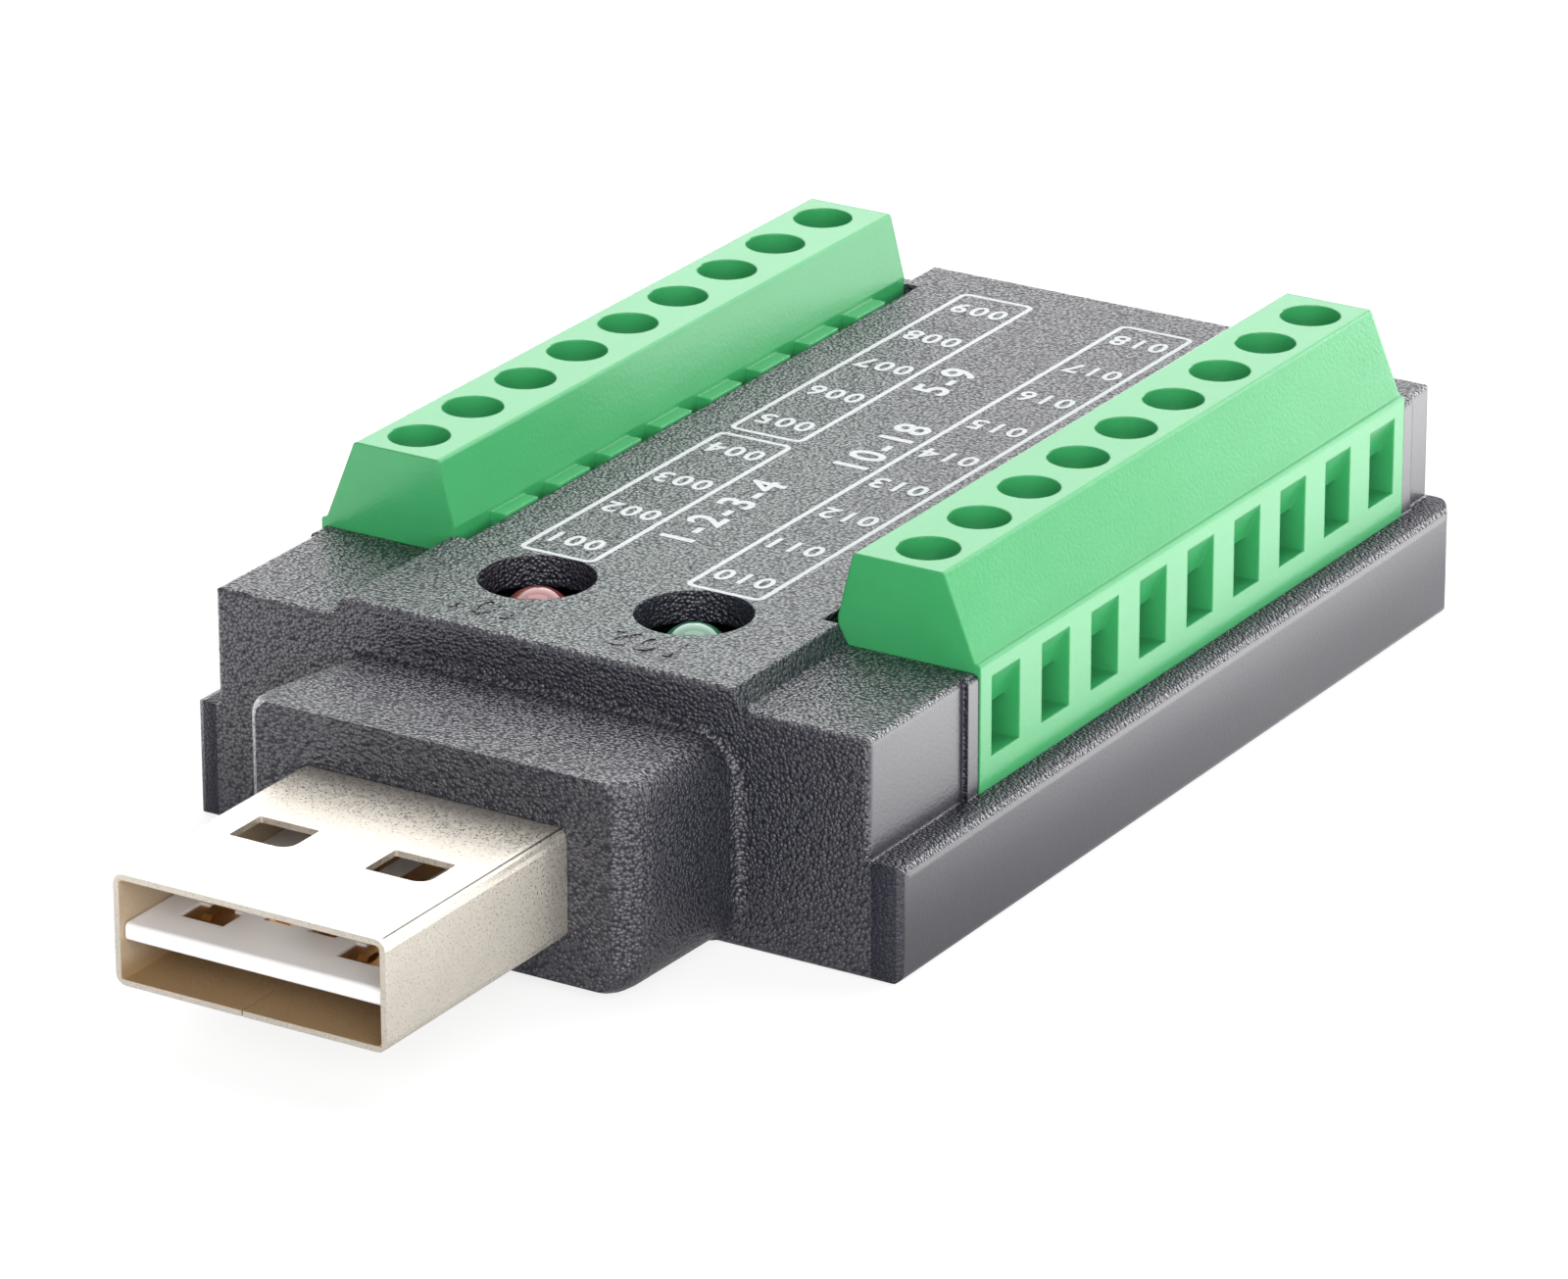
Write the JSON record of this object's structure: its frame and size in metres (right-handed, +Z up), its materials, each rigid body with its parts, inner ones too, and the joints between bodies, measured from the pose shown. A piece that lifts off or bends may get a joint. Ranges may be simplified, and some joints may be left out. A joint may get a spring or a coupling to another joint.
{
  "type": "usb serial adapter module",
  "caption": "Flat moulded adapter module with a type A plug at one end, two lamps on top and a row of rising-cage screw terminals along each side.",
  "frame": {"origin": "below the middle of the whole module, on the surface that it lies on", "axes": "+Z up through the raised panel; +Y away from the plug along the module's length; the plug's mouth faces -Y; +X towards the terminal row that is on the right when one looks along +Y"},
  "size_m": [0.0324, 0.064, 0.0136],
  "materials": {
    "moulding_black": "spark-eroded satin",
    "board_green": "solder mask",
    "sleeve_nickel": "bright nickel plate",
    "insulator_white": "moulded",
    "contact_gold": "gold flash",
    "block_green": "moulded satin",
    "bar_tin": "tin plate",
    "lamp_red": "diffused",
    "lamp_green": "diffused",
    "chip_black": "moulded",
    "can_nickel": "nickel",
    "capacitor_tan": "fired",
    "resistor_black": "glazed",
    "screw_steel": "zinc plate",
    "cage_steel": "nickel plate"
  },
  "bodies": {
    "module": {"upper_housing": "moulding_black", "bottom_cover": "moulding_black", "circuit_board": "board_green", "usb_sleeve": "sleeve_nickel", "usb_insulator": "insulator_white", "usb_contact_1": "contact_gold", "usb_contact_2": "contact_gold", "usb_contact_3": "contact_gold", "usb_contact_4": "contact_gold", "terminal_block_left": "block_green", "terminal_block_right": "block_green", "contact_bars_left": "bar_tin", "contact_bars_right": "bar_tin", "power_lamp": "lamp_red", "data_lamp": "lamp_green", "bridge_chip": "chip_black", "line_driver_chip": "chip_black", "bus_driver_chip": "chip_black", "crystal": "can_nickel", "chip_capacitors": "capacitor_tan", "chip_resistors": "resistor_black"},
    "screw_left_1": {"screw_left_1": "screw_steel"},
    "screw_left_2": {"screw_left_2": "screw_steel"},
    "screw_left_3": {"screw_left_3": "screw_steel"},
    "screw_left_4": {"screw_left_4": "screw_steel"},
    "screw_left_5": {"screw_left_5": "screw_steel"},
    "screw_left_6": {"screw_left_6": "screw_steel"},
    "screw_left_7": {"screw_left_7": "screw_steel"},
    "screw_left_8": {"screw_left_8": "screw_steel"},
    "screw_left_9": {"screw_left_9": "screw_steel"},
    "screw_right_1": {"screw_right_1": "screw_steel"},
    "screw_right_2": {"screw_right_2": "screw_steel"},
    "screw_right_3": {"screw_right_3": "screw_steel"},
    "screw_right_4": {"screw_right_4": "screw_steel"},
    "screw_right_5": {"screw_right_5": "screw_steel"},
    "screw_right_6": {"screw_right_6": "screw_steel"},
    "screw_right_7": {"screw_right_7": "screw_steel"},
    "screw_right_8": {"screw_right_8": "screw_steel"},
    "screw_right_9": {"screw_right_9": "screw_steel"},
    "cage_left_1": {"cage_left_1": "cage_steel"},
    "cage_left_2": {"cage_left_2": "cage_steel"},
    "cage_left_3": {"cage_left_3": "cage_steel"},
    "cage_left_4": {"cage_left_4": "cage_steel"},
    "cage_left_5": {"cage_left_5": "cage_steel"},
    "cage_left_6": {"cage_left_6": "cage_steel"},
    "cage_left_7": {"cage_left_7": "cage_steel"},
    "cage_left_8": {"cage_left_8": "cage_steel"},
    "cage_left_9": {"cage_left_9": "cage_steel"},
    "cage_right_1": {"cage_right_1": "cage_steel"},
    "cage_right_2": {"cage_right_2": "cage_steel"},
    "cage_right_3": {"cage_right_3": "cage_steel"},
    "cage_right_4": {"cage_right_4": "cage_steel"},
    "cage_right_5": {"cage_right_5": "cage_steel"},
    "cage_right_6": {"cage_right_6": "cage_steel"},
    "cage_right_7": {"cage_right_7": "cage_steel"},
    "cage_right_8": {"cage_right_8": "cage_steel"},
    "cage_right_9": {"cage_right_9": "cage_steel"}
  },
  "joints": [
    {"name": "turn_left_1", "type": "hinge", "parent": "module", "child": "screw_left_1", "pos_m": [-0.0117, -0.00319, 0.0114], "axis": [0, 0, 1], "range_deg": [-1440, 0]},
    {"name": "turn_left_2", "type": "hinge", "parent": "module", "child": "screw_left_2", "pos_m": [-0.0117, 0.00061, 0.0114], "axis": [0, 0, 1], "range_deg": [-1440, 0]},
    {"name": "turn_left_3", "type": "hinge", "parent": "module", "child": "screw_left_3", "pos_m": [-0.0117, 0.00443, 0.0114], "axis": [0, 0, 1], "range_deg": [-1440, 0]},
    {"name": "turn_left_4", "type": "hinge", "parent": "module", "child": "screw_left_4", "pos_m": [-0.0117, 0.00823, 0.0114], "axis": [0, 0, 1], "range_deg": [-1440, 0]},
    {"name": "turn_left_5", "type": "hinge", "parent": "module", "child": "screw_left_5", "pos_m": [-0.0117, 0.01205, 0.0114], "axis": [0, 0, 1], "range_deg": [-1440, 0]},
    {"name": "turn_left_6", "type": "hinge", "parent": "module", "child": "screw_left_6", "pos_m": [-0.0117, 0.01586, 0.0114], "axis": [0, 0, 1], "range_deg": [-1440, 0]},
    {"name": "turn_left_7", "type": "hinge", "parent": "module", "child": "screw_left_7", "pos_m": [-0.0117, 0.01966, 0.0114], "axis": [0, 0, 1], "range_deg": [-1440, 0]},
    {"name": "turn_left_8", "type": "hinge", "parent": "module", "child": "screw_left_8", "pos_m": [-0.0117, 0.02347, 0.0114], "axis": [0, 0, 1], "range_deg": [-1440, 0]},
    {"name": "turn_left_9", "type": "hinge", "parent": "module", "child": "screw_left_9", "pos_m": [-0.0117, 0.02729, 0.0114], "axis": [0, 0, 1], "range_deg": [-1440, 0]},
    {"name": "turn_right_1", "type": "hinge", "parent": "module", "child": "screw_right_1", "pos_m": [0.0117, -0.00319, 0.0114], "axis": [0, 0, 1], "range_deg": [-1440, 0]},
    {"name": "turn_right_2", "type": "hinge", "parent": "module", "child": "screw_right_2", "pos_m": [0.0117, 0.00061, 0.0114], "axis": [0, 0, 1], "range_deg": [-1440, 0]},
    {"name": "turn_right_3", "type": "hinge", "parent": "module", "child": "screw_right_3", "pos_m": [0.0117, 0.00443, 0.0114], "axis": [0, 0, 1], "range_deg": [-1440, 0]},
    {"name": "turn_right_4", "type": "hinge", "parent": "module", "child": "screw_right_4", "pos_m": [0.0117, 0.00823, 0.0114], "axis": [0, 0, 1], "range_deg": [-1440, 0]},
    {"name": "turn_right_5", "type": "hinge", "parent": "module", "child": "screw_right_5", "pos_m": [0.0117, 0.01205, 0.0114], "axis": [0, 0, 1], "range_deg": [-1440, 0]},
    {"name": "turn_right_6", "type": "hinge", "parent": "module", "child": "screw_right_6", "pos_m": [0.0117, 0.01586, 0.0114], "axis": [0, 0, 1], "range_deg": [-1440, 0]},
    {"name": "turn_right_7", "type": "hinge", "parent": "module", "child": "screw_right_7", "pos_m": [0.0117, 0.01966, 0.0114], "axis": [0, 0, 1], "range_deg": [-1440, 0]},
    {"name": "turn_right_8", "type": "hinge", "parent": "module", "child": "screw_right_8", "pos_m": [0.0117, 0.02347, 0.0114], "axis": [0, 0, 1], "range_deg": [-1440, 0]},
    {"name": "turn_right_9", "type": "hinge", "parent": "module", "child": "screw_right_9", "pos_m": [0.0117, 0.02729, 0.0114], "axis": [0, 0, 1], "range_deg": [-1440, 0]},
    {"name": "lift_left_1", "type": "slide", "parent": "module", "child": "cage_left_1", "axis": [0, 0, 1], "range_m": [0, 0.0016]},
    {"name": "lift_left_2", "type": "slide", "parent": "module", "child": "cage_left_2", "axis": [0, 0, 1], "range_m": [0, 0.0016]},
    {"name": "lift_left_3", "type": "slide", "parent": "module", "child": "cage_left_3", "axis": [0, 0, 1], "range_m": [0, 0.0016]},
    {"name": "lift_left_4", "type": "slide", "parent": "module", "child": "cage_left_4", "axis": [0, 0, 1], "range_m": [0, 0.0016]},
    {"name": "lift_left_5", "type": "slide", "parent": "module", "child": "cage_left_5", "axis": [0, 0, 1], "range_m": [0, 0.0016]},
    {"name": "lift_left_6", "type": "slide", "parent": "module", "child": "cage_left_6", "axis": [0, 0, 1], "range_m": [0, 0.0016]},
    {"name": "lift_left_7", "type": "slide", "parent": "module", "child": "cage_left_7", "axis": [0, 0, 1], "range_m": [0, 0.0016]},
    {"name": "lift_left_8", "type": "slide", "parent": "module", "child": "cage_left_8", "axis": [0, 0, 1], "range_m": [0, 0.0016]},
    {"name": "lift_left_9", "type": "slide", "parent": "module", "child": "cage_left_9", "axis": [0, 0, 1], "range_m": [0, 0.0016]},
    {"name": "lift_right_1", "type": "slide", "parent": "module", "child": "cage_right_1", "axis": [0, 0, 1], "range_m": [0, 0.0016]},
    {"name": "lift_right_2", "type": "slide", "parent": "module", "child": "cage_right_2", "axis": [0, 0, 1], "range_m": [0, 0.0016]},
    {"name": "lift_right_3", "type": "slide", "parent": "module", "child": "cage_right_3", "axis": [0, 0, 1], "range_m": [0, 0.0016]},
    {"name": "lift_right_4", "type": "slide", "parent": "module", "child": "cage_right_4", "axis": [0, 0, 1], "range_m": [0, 0.0016]},
    {"name": "lift_right_5", "type": "slide", "parent": "module", "child": "cage_right_5", "axis": [0, 0, 1], "range_m": [0, 0.0016]},
    {"name": "lift_right_6", "type": "slide", "parent": "module", "child": "cage_right_6", "axis": [0, 0, 1], "range_m": [0, 0.0016]},
    {"name": "lift_right_7", "type": "slide", "parent": "module", "child": "cage_right_7", "axis": [0, 0, 1], "range_m": [0, 0.0016]},
    {"name": "lift_right_8", "type": "slide", "parent": "module", "child": "cage_right_8", "axis": [0, 0, 1], "range_m": [0, 0.0016]},
    {"name": "lift_right_9", "type": "slide", "parent": "module", "child": "cage_right_9", "axis": [0, 0, 1], "range_m": [0, 0.0016]}
  ],
  "couplings": [
    {"joint": "turn_left_1", "follows": "lift_left_1", "rad_per_m": -15708},
    {"joint": "turn_left_2", "follows": "lift_left_2", "rad_per_m": -15708},
    {"joint": "turn_left_3", "follows": "lift_left_3", "rad_per_m": -15708},
    {"joint": "turn_left_4", "follows": "lift_left_4", "rad_per_m": -15708},
    {"joint": "turn_left_5", "follows": "lift_left_5", "rad_per_m": -15708},
    {"joint": "turn_left_6", "follows": "lift_left_6", "rad_per_m": -15708},
    {"joint": "turn_left_7", "follows": "lift_left_7", "rad_per_m": -15708},
    {"joint": "turn_left_8", "follows": "lift_left_8", "rad_per_m": -15708},
    {"joint": "turn_left_9", "follows": "lift_left_9", "rad_per_m": -15708},
    {"joint": "turn_right_1", "follows": "lift_right_1", "rad_per_m": -15708},
    {"joint": "turn_right_2", "follows": "lift_right_2", "rad_per_m": -15708},
    {"joint": "turn_right_3", "follows": "lift_right_3", "rad_per_m": -15708},
    {"joint": "turn_right_4", "follows": "lift_right_4", "rad_per_m": -15708},
    {"joint": "turn_right_5", "follows": "lift_right_5", "rad_per_m": -15708},
    {"joint": "turn_right_6", "follows": "lift_right_6", "rad_per_m": -15708},
    {"joint": "turn_right_7", "follows": "lift_right_7", "rad_per_m": -15708},
    {"joint": "turn_right_8", "follows": "lift_right_8", "rad_per_m": -15708},
    {"joint": "turn_right_9", "follows": "lift_right_9", "rad_per_m": -15708}
  ]
}
